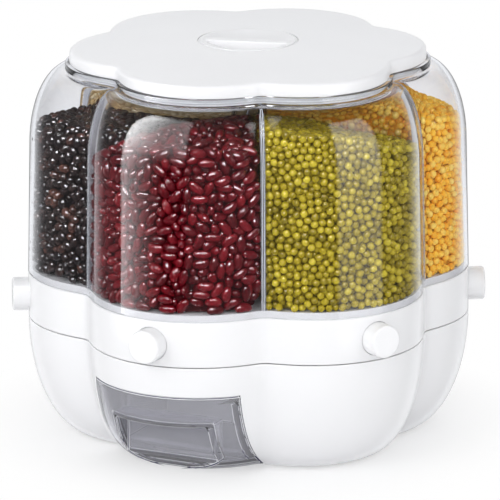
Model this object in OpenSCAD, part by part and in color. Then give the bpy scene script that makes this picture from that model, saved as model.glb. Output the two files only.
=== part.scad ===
// Rotating dispenser for six kinds of grain, with a drawer.
// The clear six-lobed container turns on the white base. Each compartment has a push button
// that slides a windowed gate under its outlet, and the grain falls into the drawer.
// Origin: centre of the base, on the surface it stands on. Z is up and the drawer opens to -Y.

/* [Lobed outline] */
// Radius to the lobe tips at the widest part
tip_r = 150; // [146:1:154]
// Rounding of the valleys between the lobes, as an angle in degrees
valley_soft = 2; // [1.5:0.1:3]

/* [Heights] */
// Seam between the fixed base and the turning ring
seam_z = 80; // [79:0.5:81]
// Top of the button ring, where the clear wall starts
ring_top_z = 111; // [110.5:0.5:112]
// Underside of the lid's rim, on the neck of the clear body
neck_top_z = 255.5; // [254:0.5:260]
// Highest point of the lid
lid_top_z = 269; // [266:0.5:272]

/* [Clear body] */
// Wall thickness of the clear body
clear_wall = 3; // [2:0.1:3.2]
// Height where the straight wall ends and the shoulder starts
shoulder_z = 199; // [189:1:209]
// Thickness of the partition blades
blade_t = 2.6; // [2:0.1:3]

/* [Buttons] */
// Radius of a push button
button_r = 11.3; // [10:0.1:12]
// Distance from the centre to the face of a button
button_face_r = 161; // [158:0.5:163]
// Height of the button axes
button_z = 95; // [95:0.5:95.5]
// Travel of a button
button_travel = 10.5; // [9:0.5:10.5]

/* [Outlets] */
// Distance from the centre to the middle of an outlet
outlet_r = 92; // [90:0.5:93]
// Radial length of an outlet
outlet_l = 10; // [8:0.5:10]
// Width of an outlet
outlet_w = 34; // [24:1:34]

/* [Drawer] */
// Width of the drawer's front
front_w = 106; // [96:1:106]
// Height of the top edge of the drawer's front
front_top_z = 59; // [54:0.5:59]
// Width of the finger pull at its mouth
pull_w = 67; // [50:1:72]
// Height of the finger pull's top edge
pull_top_z = 37; // [30:0.5:40]

/* [Base] */
// Wall thickness of the white mouldings
shell_wall = 2.6; // [2.2:0.1:3]
// Radius of the shaft that the container turns on
post_r = 8; // [7:0.5:8]

/* [Hidden] */

$fn = 64;
lobes = 6;
lobe_step = 360 / lobes;
first_lobe = -90;
half_step = lobe_step / 2;

// The outline is six arcs. Their centres lie at this share of the tip radius, and the rest is the arcs' radius.
arc_centre = 0.51;
arc_radius = 1 - arc_centre;
// Reach of the outline at an angle off a lobe's axis, for a tip radius of 1
function reach(a) = arc_centre * cos(a) + sqrt(pow(arc_radius, 2) - pow(arc_centre * sin(a), 2));
// Share of the tip radius at the bottom of a rounded valley
valley = reach(half_step - valley_soft);

gap = 0.3;
seam_gap = 0.6;
around = 84;

// ---- Shared shapes ----

// Angle off the nearest lobe's axis, folded back smoothly before it reaches the valley
function fold(phi) =
    let(a = abs((phi - first_lobe + half_step) % lobe_step - half_step))
    half_step - sqrt(pow(half_step - a, 2) + pow(valley_soft, 2));

// Points of one level: p = [tip radius, height, share of lobes], where 0 is a circle
function level(p) = [
    for (i = [0 : around - 1])
        let(phi = i * 360 / around, r = p[0] * (1 - p[2] + p[2] * reach(fold(phi))))
        [r * cos(phi), r * sin(phi), p[1]]
];

// A closed loop of levels, swept round the axis: a lobed tube
module lobed_tube(loop) {
    count = len(loop);
    points = [for (p = loop) each level(p)];
    faces = [
        for (j = [0 : count - 1], i = [0 : around - 1])
            let(
                k = (j + 1) % count,
                n = (i + 1) % around,
                a = j * around + i,
                b = j * around + n,
                c = k * around + n,
                d = k * around + i
            )
            each [[a, c, b], [a, d, c]]
    ];
    polyhedron(points, faces);
}

// A stack of levels, from the lowest to the highest, closed at both ends
module lobed_solid(stack) {
    count = len(stack);
    points = [for (p = stack) each level(p)];
    sides = [
        for (j = [0 : count - 2], i = [0 : around - 1])
            let(n = (i + 1) % around, a = j * around + i, b = j * around + n)
            each [[a, b + around, b], [a, a + around, b + around]]
    ];
    bottom = [for (i = [0 : around - 1]) i];
    top = [for (i = [around - 1 : -1 : 0]) (count - 1) * around + i];
    polyhedron(points, concat(sides, [bottom, top]));
}

// The same outline from true arcs, inset all round. A round cut joins two lobes at each valley,
// just into both arcs and touching the bottom of the valley.
cut_overlap = 0.02;
module lobed_plan(r, inset = 0) {
    centre = r * arc_centre;
    bottom = r * valley;
    cut_r = (pow(bottom, 2) + pow(centre, 2) - 2 * centre * bottom * cos(half_step) - pow(r * arc_radius, 2))
        / (2 * (r * arc_radius - bottom + centre * cos(half_step)));
    side_x = centre * cos(half_step);
    side_y = centre * sin(half_step);
    difference() {
        union() {
            circle(r = 1.2 * centre, $fn = 96);
            for (k = [0 : lobes - 1]) {
                rotate(first_lobe + k * lobe_step)
                    translate([centre, 0])
                        circle(r = r * arc_radius - inset, $fn = 96);
                rotate(k * lobe_step)
                    polygon([[side_x, -side_y], [bottom + cut_r, 0], [side_x, side_y]]);
            }
        }
        for (k = [0 : lobes - 1])
            rotate(k * lobe_step)
                translate([bottom + cut_r, 0])
                    circle(r = cut_r + inset + cut_overlap);
    }
}

module lobed_plate(r, z, t, inset = 0) {
    translate([0, 0, z])
        linear_extrude(t)
            lobed_plan(r, inset);
}

// Places its children on lobe number k, with X pointing outwards
module on_lobe(k) {
    rotate(first_lobe + (k - 1) * lobe_step)
        children();
}

// ---- Profiles of the lofted shells ----

// Wall of the base: a quarter of an ellipse from the foot to the straight part.
// The valleys are deeper at the foot than at the seam.
foot_r = 111;
foot_lobes = 1.15;
curve_top_z = 79;
foot_z = 1.2;
base_steps = 8;
function base_curve(inset, low) =
    let(rise = curve_top_z - inset, start = acos((curve_top_z - low) / rise))
    [
        for (i = [0 : base_steps])
            let(t = start + (90 - start) * i / base_steps)
            [
                foot_r + (tip_r - foot_r - inset) * sin(t),
                curve_top_z - rise * cos(t),
                1 + (foot_lobes - 1) * cos(t)
            ]
    ];
base_top_z = seam_z - seam_gap / 2;
mouth_r = 104;
inner_r = tip_r - shell_wall;
deck_z = 66;
ledge_in = 4.5;
ledge_t = 3;
ledge_r = inner_r - 0.4;

// Wall of the clear body: nearly straight, then a quarter of an ellipse in to the neck
wall_taper = 2;
neck_r = 123.4;
neck_in = neck_r - 5;
neck_h = 4;
shoulder_rise = neck_top_z - neck_h - shoulder_z;
shoulder_steps = 9;
function clear_side(inset) = concat(
    [[tip_r - inset, ring_top_z, 1]],
    [
        for (i = [0 : shoulder_steps])
            let(t = 90 * i / shoulder_steps)
            [
                neck_r + (tip_r - wall_taper - neck_r - inset) * cos(t),
                shoulder_z + (shoulder_rise - inset) * sin(t),
                1
            ]
    ]
);
function back(v) = [for (i = [len(v) - 1 : -1 : 0]) v[i]];

floor_t = 4.5;
floor_top_z = ring_top_z + floor_t;
plug_depth = 5.5;
blade_top_z = neck_top_z - neck_h - clear_wall - 0.6;

// ---- Base ----

module drawer_space(grow) {
    translate([-front_w / 2 - grow, -tip_r - 20, -5])
        cube([front_w + 2 * grow, tip_r - 30, front_top_z + 5 + grow]);
}

module base_shell() {
    outer = base_curve(0, foot_z);
    inner = base_curve(shell_wall, foot_z + shell_wall);
    color("white")
        difference() {
            lobed_tube(
                concat(
                    [[mouth_r, foot_z, 1]],
                    outer,
                    [[tip_r, base_top_z, 1], [inner_r, base_top_z, 1]],
                    [[ledge_r, deck_z, 1], [inner_r - ledge_in, deck_z, 1]],
                    [[inner_r - ledge_in, deck_z - ledge_t, 1]],
                    back([for (p = inner) if (p[1] < deck_z - 2 * ledge_t) p]),
                    [[mouth_r, foot_z + shell_wall, 1]]
                )
            );
            drawer_space(seam_gap);
        }
}

plate_t = 2.6;
plate_z = 1.6;
plate_top_z = plate_z + plate_t;
bay_front_y = -84;
front_back_y = bay_front_y - 0.5;
leg_spots = [2, 3, 4, 5, 6];
leg_r = 5;
leg_out = 94;
screw_r = 1.5;
screw_head_r = 3;

// The plate is cut back in front, where the drawer's front closes the bottom
module base_plate() {
    color("gainsboro")
        difference() {
            lobed_plate(mouth_r, plate_z, plate_t, 0.8);
            translate([-front_w / 2 - seam_gap, -tip_r, 0])
                cube([front_w + 2 * seam_gap, tip_r + front_back_y + seam_gap, 10]);
            for (k = leg_spots)
                on_lobe(k)
                    translate([leg_out, 0, 0]) {
                        cylinder(r = screw_r + gap, h = 10);
                        translate([0, 0, plate_z - 1])
                            cylinder(r = screw_head_r + gap, h = 2);
                    }
        }
}

foot_pad_r = 8;
foot_pad_out = 76;

module rubber_feet() {
    color("dimgray")
        for (k = [1 : lobes])
            on_lobe(k)
                translate([foot_pad_out, 0, 0])
                    rotate_extrude()
                        polygon([[0, 0], [foot_pad_r - 0.5, 0], [foot_pad_r, 0.5], [foot_pad_r, plate_z], [0, plate_z]]);
}

deck_t = 3;
deck_top_z = deck_z + deck_t;
collar_wall = 2.2;
collar_l = outlet_l + 10;
collar_w = outlet_w + 8;
carousel_z = seam_z + 1;

module deck() {
    color("whitesmoke")
        difference() {
            union() {
                lobed_plate(tip_r, deck_z, deck_t, shell_wall + 0.8);
                on_lobe(1)
                    translate([outlet_r, 0, (front_top_z + carousel_z) / 2 + 0.6])
                        cube(
                            [
                                collar_l + 2 * collar_wall,
                                collar_w + 2 * collar_wall,
                                carousel_z - front_top_z - 2.8
                            ],
                            center = true
                        );
                for (k = leg_spots)
                    on_lobe(k)
                        translate([leg_out, 0, plate_top_z])
                            cylinder(r = leg_r, h = deck_z - plate_top_z + 1);
            }
            on_lobe(1)
                translate([outlet_r, 0, deck_z])
                    cube([collar_l, collar_w, 60], center = true);
            translate([0, 0, deck_z - 1])
                cylinder(r = post_r + 0.05, h = deck_t + 2);
            for (k = leg_spots)
                on_lobe(k)
                    translate([leg_out, 0, plate_top_z - 1])
                        cylinder(r = screw_r, h = 20);
        }
}

module base_screws() {
    color("silver")
        for (k = leg_spots)
            on_lobe(k)
                translate([leg_out, 0, plate_z - 0.1])
                    rotate_extrude() {
                        square([screw_head_r, 1.1]);
                        square([screw_r - 0.05, 14]);
                    }
}

bay_wall = 2;
bay_in = 50.6;
bay_back_y = -28;

module drawer_bay() {
    length = bay_back_y - bay_front_y;
    color("white")
        difference() {
            translate([-bay_in - bay_wall, bay_front_y, plate_top_z])
                cube([2 * (bay_in + bay_wall), length, front_top_z - plate_top_z - 1]);
            translate([-bay_in, bay_front_y - 1, plate_top_z + bay_wall])
                cube([2 * bay_in, length + 1 - bay_wall, front_top_z]);
        }
}

hub_top_z = 100;
hub_r = 15;
flange_t = 3.3;

module pivot_post() {
    color("silver")
        difference() {
            rotate_extrude()
                polygon([
                    [0, deck_z - flange_t],
                    [post_r + 5, deck_z - flange_t],
                    [post_r + 5, deck_z],
                    [post_r, deck_z],
                    [post_r, hub_top_z - 0.5],
                    [post_r - 0.5, hub_top_z],
                    [0, hub_top_z]
                ]);
            translate([0, 0, hub_top_z - 15])
                cylinder(r = 2.45, h = 20);
        }
}

// ---- Turntable bearing ----

race_r = 60;
race_w = 12;
ball_r = 3;
ball_z = deck_top_z + 7;
ball_count = 12;

module lower_race() {
    color("silver")
        rotate_extrude($fn = 96)
            difference() {
                translate([race_r - race_w / 2, deck_top_z])
                    square([race_w, ball_z - deck_top_z - 1.5]);
                translate([race_r, ball_z])
                    circle(r = ball_r + gap, $fn = 48);
            }
}

module upper_race() {
    color("silver")
        rotate_extrude($fn = 96)
            difference() {
                translate([race_r - race_w / 2, ball_z + 1.5])
                    square([race_w, carousel_z - ball_z - 1.5]);
                translate([race_r, ball_z])
                    circle(r = ball_r + gap, $fn = 48);
            }
}

module ball_cage() {
    color("tan")
        difference() {
            translate([0, 0, ball_z - 1])
                difference() {
                    cylinder(r = race_r + 5.5, h = 2, $fn = 96);
                    translate([0, 0, -1])
                        cylinder(r = race_r - 5.5, h = 4, $fn = 96);
                }
            for (i = [0 : ball_count - 1])
                rotate(i * 360 / ball_count)
                    translate([race_r, 0, ball_z - 2])
                        cylinder(r = ball_r + 0.2, h = 4);
        }
}

module bearing_balls() {
    color("lightsteelblue")
        for (i = [0 : ball_count - 1])
            rotate(i * 360 / ball_count)
                translate([race_r, 0, ball_z])
                    sphere(r = ball_r, $fn = 24);
}

// ---- Carousel ----

bore_gap = 0.3;
pocket_r = button_r + 2.5;
pocket_in = 131;
ring_z = seam_z + seam_gap / 2;
ring_wall = 3;
shelf_in = 7;

module button_ring() {
    color("white")
        difference() {
            union() {
                difference() {
                    lobed_plate(tip_r, ring_z, ring_top_z - ring_z);
                    lobed_plate(tip_r, ring_z - 1, ring_top_z - ring_z - 2, ring_wall);
                    lobed_plate(tip_r, ring_z, 40, shelf_in);
                }
                intersection() {
                    lobed_plate(tip_r, ring_z, ring_top_z - ring_z, 1);
                    for (k = [1 : lobes])
                        on_lobe(k)
                            translate([pocket_in, 0, button_z])
                                rotate([0, 90, 0])
                                    cylinder(r = pocket_r + 2, h = 30);
                }
            }
            for (k = [1 : lobes])
                on_lobe(k)
                    translate([pocket_in - 1, 0, button_z])
                        rotate([0, 90, 0]) {
                            cylinder(r = button_r + bore_gap, h = 40);
                            cylinder(r = pocket_r + gap, h = tip_r - ring_wall - pocket_in + 1);
                        }
        }
}

guide_in = 63;
seat_r = 122;
seat_t = 2.5;
gate_w = outlet_w + 10;
gate_t = 2.2;
gate_low = button_z - gate_t / 2;
rail_t = 2.4;
shelf_t = 2.6;
duct_wall = 2;
stem_r = 3;
shelf_out = outlet_r + outlet_l / 2 + 9;
pillar_out = 100;
pillar_r = 5;

// Guide of one gate: two side rails, a shelf with the outlet's lower duct, and the spring's seat
module gate_guide() {
    rail_y = gate_w / 2 + gap;
    for (s = [-1, 1])
        translate([guide_in, s * (rail_y + rail_t / 2) - rail_t / 2, carousel_z])
            cube([seat_r - guide_in + seat_t, rail_t, gate_low + gate_t + 1 - carousel_z]);
    translate([guide_in, -rail_y - 0.1, gate_low - gap - shelf_t])
        cube([shelf_out - guide_in, 2 * rail_y + 0.2, shelf_t]);
    translate([outlet_r, 0, (carousel_z + gate_low - gap) / 2])
        cube([outlet_l + 2 * duct_wall, outlet_w + 2 * duct_wall, gate_low - gap - carousel_z], center = true);
    translate([seat_r, -rail_y - 0.1, carousel_z])
        cube([seat_t, 2 * rail_y + 0.2, 22]);
}

module carousel_base() {
    color("gainsboro")
        difference() {
            union() {
                lobed_plate(tip_r, carousel_z, 3, ring_wall + 0.4);
                for (k = [1 : lobes])
                    on_lobe(k)
                        gate_guide();
                translate([0, 0, carousel_z])
                    cylinder(r = hub_r, h = hub_top_z - carousel_z - 0.3);
            }
            for (k = [1 : lobes])
                on_lobe(k) {
                    translate([outlet_r, 0, carousel_z])
                        cube([outlet_l, outlet_w, 60], center = true);
                    translate([seat_r - 1, 0, button_z])
                        rotate([0, 90, 0])
                            cylinder(r = stem_r + gap, h = seat_t + 2);
                    // room for the button's collar
                    translate([pocket_in - 1, -12, carousel_z - 1])
                        cube([30, 24, 5]);
                }
            translate([0, 0, carousel_z - 1])
                cylinder(r = post_r + 0.05, h = 40);
            pillar_places()
                translate([0, 0, carousel_z - 1])
                    cylinder(r = screw_r + gap, h = 10);
        }
}

module pillar_places() {
    for (k = [1 : lobes])
        rotate(first_lobe + (k - 0.5) * lobe_step)
            translate([pillar_out, 0, 0])
                children();
}

// Compartment floor with its upper ducts and the pillars that stand on the carousel's base
module hopper_floor() {
    duct_low = gate_low + gate_t + gap;
    color("white")
        difference() {
            union() {
                lobed_plate(tip_r, ring_top_z, floor_t, clear_wall + 0.5);
                for (k = [1 : lobes])
                    on_lobe(k)
                        translate([outlet_r, 0, (duct_low + ring_top_z + 1) / 2])
                            cube(
                                [outlet_l + 2 * duct_wall, outlet_w + 2 * duct_wall, ring_top_z - duct_low + 1],
                                center = true
                            );
                pillar_places()
                    translate([0, 0, carousel_z + 3])
                        cylinder(r = pillar_r, h = ring_top_z - carousel_z - 2);
            }
            for (k = [1 : lobes])
                on_lobe(k)
                    translate([outlet_r, 0, ring_top_z])
                        cube([outlet_l, outlet_w, 60], center = true);
            pillar_places()
                translate([0, 0, carousel_z + 2])
                    cylinder(r = screw_r, h = 18);
        }
}

module carousel_screws() {
    color("silver")
        pillar_places()
            translate([0, 0, carousel_z])
                mirror([0, 0, 1])
                    rotate_extrude() {
                        square([screw_head_r - 0.2, 0.5]);
                        translate([0, -16])
                            square([screw_r - 0.05, 16.2]);
                    }
}

module retaining_washer() {
    color("silver")
        translate([0, 0, hub_top_z])
            difference() {
                cylinder(r = hub_r - 2, h = 1.5);
                translate([0, 0, -1])
                    cylinder(r = 2.6, h = 4);
            }
}

module centre_screw() {
    color("silver")
        translate([0, 0, hub_top_z + 1.5])
            rotate_extrude() {
                square([5, 2.6]);
                translate([0, -14])
                    square([2.4, 14.2]);
            }
}

module clear_body() {
    color([0.85, 0.92, 0.95, 0.3])
        lobed_tube(concat(
            clear_side(0),
            [[neck_r, neck_top_z, 1], [neck_in, neck_top_z, 1], [neck_in, neck_top_z - neck_h - clear_wall + 1, 1]],
            back(clear_side(clear_wall))
        ));
}

hub_out = 13;

module divider() {
    side = clear_side(clear_wall + gap / valley);
    edge = [for (p = side) if (p[1] > ring_top_z && p[1] < blade_top_z) [p[0] * valley, p[1]]];
    color([0.85, 0.92, 0.95, 0.3]) {
        for (k = [0 : lobes - 1])
            rotate(k * lobe_step)
                rotate([90, 0, 0])
                    translate([0, 0, -blade_t / 2])
                        linear_extrude(blade_t)
                            polygon(concat(
                                [[hub_out - 1, floor_top_z], [side[0][0] * valley, floor_top_z]],
                                edge,
                                [[neck_in * valley - gap, blade_top_z], [hub_out - 1, blade_top_z]]
                            ));
        difference() {
            translate([0, 0, floor_top_z])
                cylinder(r = hub_out, h = blade_top_z - floor_top_z);
            translate([0, 0, floor_top_z - 1])
                cylinder(r = hub_out - 2.5, h = blade_top_z - floor_top_z - 2);
        }
    }
}

// ---- Buttons, gates and springs ----

button_in = 143;
cap_t = 3;
rim = 1.6;

module push_button(k) {
    color("white")
        on_lobe(k)
            translate([0, 0, button_z])
                rotate([0, 90, 0])
                    rotate_extrude()
                        difference() {
                            union() {
                                translate([0, button_in])
                                    square([button_r, button_face_r - rim - button_in]);
                                translate([0, button_face_r - rim - 0.1])
                                    square([button_r - rim, rim + 0.1]);
                                translate([button_r - rim, button_face_r - rim])
                                    intersection() {
                                        circle(r = rim, $fn = 48);
                                        translate([0, -0.1])
                                            square([rim, rim + 0.1]);
                                    }
                                translate([0, button_in])
                                    square([pocket_r - 0.5, 2]);
                            }
                            translate([stem_r + 1.8, button_in - 1])
                                square([button_r - stem_r - 3.8, button_face_r - cap_t - button_in + 1]);
                        }
}

// Windowed gate on its stem. The window lies just outside the outlet until the button is pushed in.
module gate(k) {
    window_r = outlet_r + button_travel;
    inner_end = outlet_r - outlet_l / 2 - 6;
    color("orange")
        on_lobe(k) {
            difference() {
                translate([inner_end, -gate_w / 2, gate_low])
                    cube([seat_r - gap - inner_end, gate_w, gate_t]);
                translate([window_r - outlet_l / 2, -outlet_w / 2, gate_low - 1])
                    cube([outlet_l, outlet_w, gate_t + 2]);
            }
            translate([seat_r - 4, 0, button_z])
                rotate([0, 90, 0])
                    cylinder(r = stem_r, h = button_in - seat_r + 4);
        }
}

spring_r = 5.6;
wire_r = 0.6;
spring_turns = 4;
spring_steps = 8;
wire_sides = 6;

// One wire, wound as a helix round the stem between the seat and the button
module return_spring(k) {
    start_x = seat_r + seat_t + wire_r + 0.1;
    end_x = button_in - wire_r - 0.1;
    rings = spring_turns * spring_steps;
    rise = (end_x - start_x) / rings;
    points = [
        for (i = [0 : rings], j = [0 : wire_sides - 1])
            let(
                turn = i * 360 / spring_steps,
                side = j * 360 / wire_sides,
                r = spring_r + wire_r * cos(side)
            )
            [start_x + rise * i + wire_r * sin(side), r * cos(turn), r * sin(turn)]
    ];
    walls = [
        for (i = [0 : rings - 1], j = [0 : wire_sides - 1])
            let(a = i * wire_sides + j, b = i * wire_sides + (j + 1) % wire_sides)
            each [[a, b, b + wire_sides], [a, b + wire_sides, a + wire_sides]]
    ];
    start_cap = [for (j = [wire_sides - 1 : -1 : 0]) j];
    end_cap = [for (j = [0 : wire_sides - 1]) rings * wire_sides + j];
    color("silver")
        on_lobe(k)
            translate([0, 0, button_z])
                polyhedron(points, concat(walls, [start_cap, end_cap]));
}

// ---- Lid ----

lid_r = 120.5;
lid_edge_h = 9;
lid_round = 3.6;
lid_wall = 2.4;
plug_r = 117.7;
plug_wall = 2.4;
grip_r = 31.5;
grip_seat_r = grip_r + 2.5;
dome_steps = 5;
edge_top_z = neck_top_z + lid_edge_h;
grip_top_z = lid_top_z;

// Crown of the lid, from the rounded edge towards the round seat of the grip
function crown(r) = edge_top_z + (lid_top_z - edge_top_z) * (1 - pow(r / (lid_r - lid_round), 2));

module lid() {
    rounded = [
        for (i = [0 : 4])
            let(t = 90 * i / 4)
            [lid_r - lid_round + lid_round * cos(t), edge_top_z - lid_round + lid_round * sin(t), 1]
    ];
    top = [
        for (i = [1 : dome_steps])
            let(s = i / dome_steps, r = (lid_r - lid_round) * (1 - s) + grip_seat_r * s)
            [r, crown(r), 1 - pow(s, 2)]
    ];
    under = [for (p = back(top)) [p[0], p[1] - lid_wall, p[2]]];
    color("white")
        lobed_tube(
            concat(
                [[lid_r, neck_top_z, 1]],
                rounded,
                top,
                under,
                [[plug_r - plug_wall, edge_top_z - lid_wall, 1]],
                [[plug_r - plug_wall, neck_top_z - plug_depth, 1], [plug_r - 1, neck_top_z - plug_depth, 1]],
                [[plug_r - 1, neck_top_z, 1]]
            )
        );
}

dish_depth = 7.5;
bar_w = 8.5;
bar_turn = 14;

// Round insert: a shallow dish crossed by a bar for the fingers
module lid_grip() {
    dish_ball = (pow(grip_r - 1, 2) + pow(dish_depth, 2)) / (2 * dish_depth);
    low_z = grip_top_z - dish_depth - 2.2;
    seat_z = crown(grip_seat_r) - 0.2;
    color("white")
        union() {
            difference() {
                rotate_extrude($fn = 96)
                    difference() {
                        union() {
                            translate([0, low_z])
                                square([grip_seat_r - gap, seat_z - low_z]);
                            translate([0, low_z])
                                square([grip_r + 1, grip_top_z - low_z]);
                        }
                        translate([0, grip_top_z - dish_depth + dish_ball])
                            circle(r = dish_ball, $fn = 128);
                    }
            }
            intersection() {
                rotate(bar_turn)
                    translate([-grip_r, -bar_w / 2, low_z])
                        cube([2 * grip_r, bar_w, grip_top_z - low_z - 0.3]);
                cylinder(r = grip_r, h = 400);
            }
        }
}

module lid_gasket() {
    low = neck_top_z - plug_depth + 1.2;
    color("gainsboro")
        lobed_tube(
            [
                [plug_r - 0.9, low, 1],
                [neck_in - gap, low + 0.7, 1],
                [neck_in - gap, low + 1.7, 1],
                [plug_r - 0.9, low + 2.4, 1]
            ]
        );
}

// ---- Drawer ----

tray_w = 100;
tray_wall = 2.5;
tray_low = plate_top_z + bay_wall + gap;
tray_top = 54;
tray_back_y = bay_back_y - bay_wall - 1.5;
pull_back_y = -118;
front_low = 1.8;
front_wall = 3;

// Everything inside the base's outer surface, inset all round
module within_base(inset) {
    lobed_solid(concat(base_curve(inset, foot_z + inset), [[tip_r - inset, seam_z + 10, 1]]));
}

// Space of the finger pull, open to the front and below, grown by a wall's thickness
module pull_space(grow) {
    translate([0, -tip_r - 10, 0])
        rotate([-90, 0, 0])
            mirror([0, 1, 0])
                linear_extrude(tip_r + 10 + pull_back_y + grow)
                    polygon([
                        [-pull_w / 2 - grow, -10],
                        [pull_w / 2 + grow, -10],
                        [pull_w / 2 + grow, pull_top_z + grow],
                        [-pull_w / 2 - grow, pull_top_z + grow]
                    ]);
}

module tray_block() {
    translate([-tray_w / 2, -tip_r - 1, tray_low])
        cube([tray_w, tip_r + tray_back_y + 1, tray_top - tray_low]);
}

module drawer() {
    color([0.55, 0.55, 0.6, 0.5])
        difference() {
            intersection() {
                within_base(0);
                union() {
                    translate([-front_w / 2, -tip_r - 10, front_low])
                        cube([front_w, tip_r + front_back_y + 10, front_top_z - front_low]);
                    tray_block();
                }
            }
            // the space behind the front, apart from the walls of the tray and of the pull
            difference() {
                intersection() {
                    within_base(front_wall);
                    translate([-front_w, -tip_r, -5])
                        cube([2 * front_w, tip_r, seam_z]);
                }
                difference() {
                    tray_block();
                    translate([-tray_w / 2 + tray_wall, -tip_r - 2, tray_low + tray_wall])
                        cube([tray_w - 2 * tray_wall, tip_r + tray_back_y - tray_wall + 2, tray_top]);
                }
                pull_space(tray_wall);
            }
            pull_space(0);
        }
}

base_shell();
base_plate();
rubber_feet();
deck();
drawer_bay();
pivot_post();
lower_race();
base_screws();
button_ring();
carousel_base();
hopper_floor();
clear_body();
divider();
upper_race();
retaining_washer();
centre_screw();
carousel_screws();
for (k = [1 : lobes])
    return_spring(k);
ball_cage();
bearing_balls();
lid();
lid_grip();
lid_gasket();
for (k = [1 : lobes])
    push_button(k);
for (k = [1 : lobes])
    gate(k);
drawer();
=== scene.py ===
"""Looks of the rotating grain dispenser with a drawer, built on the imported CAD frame.

Lengths are written in millimetres, as in the CAD source, and turned into metres when a mesh is made.
"""
import math

import bpy
import numpy as np
from mathutils import Matrix, Vector, kdtree


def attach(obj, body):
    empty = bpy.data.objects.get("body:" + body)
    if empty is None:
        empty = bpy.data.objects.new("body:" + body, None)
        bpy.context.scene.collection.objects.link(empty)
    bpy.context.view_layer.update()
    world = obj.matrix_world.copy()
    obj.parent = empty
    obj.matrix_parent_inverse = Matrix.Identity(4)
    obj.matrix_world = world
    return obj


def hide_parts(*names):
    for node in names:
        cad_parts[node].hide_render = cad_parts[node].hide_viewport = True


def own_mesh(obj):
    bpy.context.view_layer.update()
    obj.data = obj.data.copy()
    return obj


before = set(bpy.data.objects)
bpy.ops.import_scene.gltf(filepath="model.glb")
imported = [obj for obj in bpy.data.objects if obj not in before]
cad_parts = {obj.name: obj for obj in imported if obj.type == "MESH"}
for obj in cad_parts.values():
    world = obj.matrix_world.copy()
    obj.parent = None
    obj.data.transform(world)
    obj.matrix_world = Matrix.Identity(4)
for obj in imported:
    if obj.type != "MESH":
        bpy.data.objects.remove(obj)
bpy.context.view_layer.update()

MM = 0.001
LOBES = 6
LOBE_STEP = 60.0
FIRST_LOBE = -90.0
HALF_STEP = 30.0
AROUND = 288

# ---- Values of the CAD source ----
TIP_R = 150.0
ARC_CENTRE = 0.51
ARC_RADIUS = 1 - ARC_CENTRE
VALLEY_SOFT = 2.0
SEAM_Z = 80.0
SEAM_GAP = 0.6
BASE_TOP_Z = SEAM_Z - SEAM_GAP / 2
RING_Z = SEAM_Z + SEAM_GAP / 2
RING_TOP_Z = 111.0
NECK_TOP_Z = 255.5
LID_TOP_Z = 269.0
CLEAR_WALL = 3.0
WALL_TAPER = 2.0
SHOULDER_Z = 199.0
NECK_R = 123.4
NECK_IN = NECK_R - 5
NECK_H = 4.0
SHOULDER_RISE = NECK_TOP_Z - NECK_H - SHOULDER_Z
SHELL_WALL = 2.6
INNER_R = TIP_R - SHELL_WALL
FOOT_R = 111.0
FOOT_LOBES = 1.15
FOOT_Z = 1.2
CURVE_TOP_Z = 79.0
MOUTH_R = 104.0
DECK_Z = 66.0
BLADE_T = 2.6
HUB_OUT = 13.0
FLOOR_TOP_Z = 115.5
BUTTON_R = 11.3
BUTTON_FACE_R = 161.0
BUTTON_IN = 143.0
BUTTON_Z = 95.0
FRONT_W = 106.0
FRONT_TOP_Z = 59.0
FRONT_LOW = 1.8
FRONT_BACK_Y = -84.5
FRONT_WALL = 3.0
TRAY_W = 100.0
TRAY_WALL = 2.5
TRAY_LOW = 6.5
TRAY_TOP = 54.0
TRAY_BACK_Y = -31.5
PULL_W = 67.0
PULL_TOP_Z = 37.0
PULL_BACK_Y = -118.0
LID_R = 120.5
LID_EDGE_H = 9.0
LID_ROUND = 3.6
LID_WALL = 2.4
PLUG_R = 117.7
PLUG_WALL = 2.4
PLUG_DEPTH = 5.5
EDGE_TOP_Z = NECK_TOP_Z + LID_EDGE_H
GRIP_R = 31.5
GRIP_SEAT_R = GRIP_R + 2.5
DISH_DEPTH = 7.5
BAR_W = 8.5
BAR_TURN = 14.0


# ---- Mesh helpers ----

def in_scene(name, data):
    """A new object of the scene with this mesh, lamp or camera."""
    made = bpy.data.objects.new(name, data)
    bpy.context.scene.collection.objects.link(made)
    return made


def make_piece(name, points, faces, sharp=32.0):
    """A smooth-shaded mesh object from points in millimetres; edges over `sharp` degrees stay crisp."""
    mesh = bpy.data.meshes.new(name)
    mesh.from_pydata((np.asarray(points, float) * MM).tolist(), [], faces)
    mesh.validate()
    piece = in_scene(name, mesh)
    finish_shading(piece, sharp)
    return piece


def finish_shading(piece, sharp=32.0):
    piece.data.shade_smooth()
    piece.data.set_sharp_from_angle(angle=math.radians(sharp))


def reach(angle):
    """Reach of the lobed outline at an angle off a lobe's axis, for a tip radius of 1."""
    a = np.radians(angle)
    return ARC_CENTRE * np.cos(a) + np.sqrt(ARC_RADIUS ** 2 - (ARC_CENTRE * np.sin(a)) ** 2)


def fold(phi):
    """Angle off the nearest lobe's axis, rounded off before it reaches the valley."""
    a = np.abs((phi - FIRST_LOBE + HALF_STEP) % LOBE_STEP - HALF_STEP)
    return HALF_STEP - np.sqrt((HALF_STEP - a) ** 2 + VALLEY_SOFT ** 2)


PHI = np.arange(AROUND) * 360.0 / AROUND
OUTLINE = reach(fold(PHI))
COS_PHI = np.cos(np.radians(PHI))
SIN_PHI = np.sin(np.radians(PHI))


def level(point):
    """One lobed outline, from (radius, height, share of the lobes in it)."""
    r = point[0] * (1 - point[2] + point[2] * OUTLINE)
    return np.column_stack([r * COS_PHI, r * SIN_PHI, np.full(AROUND, point[1])])


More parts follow.
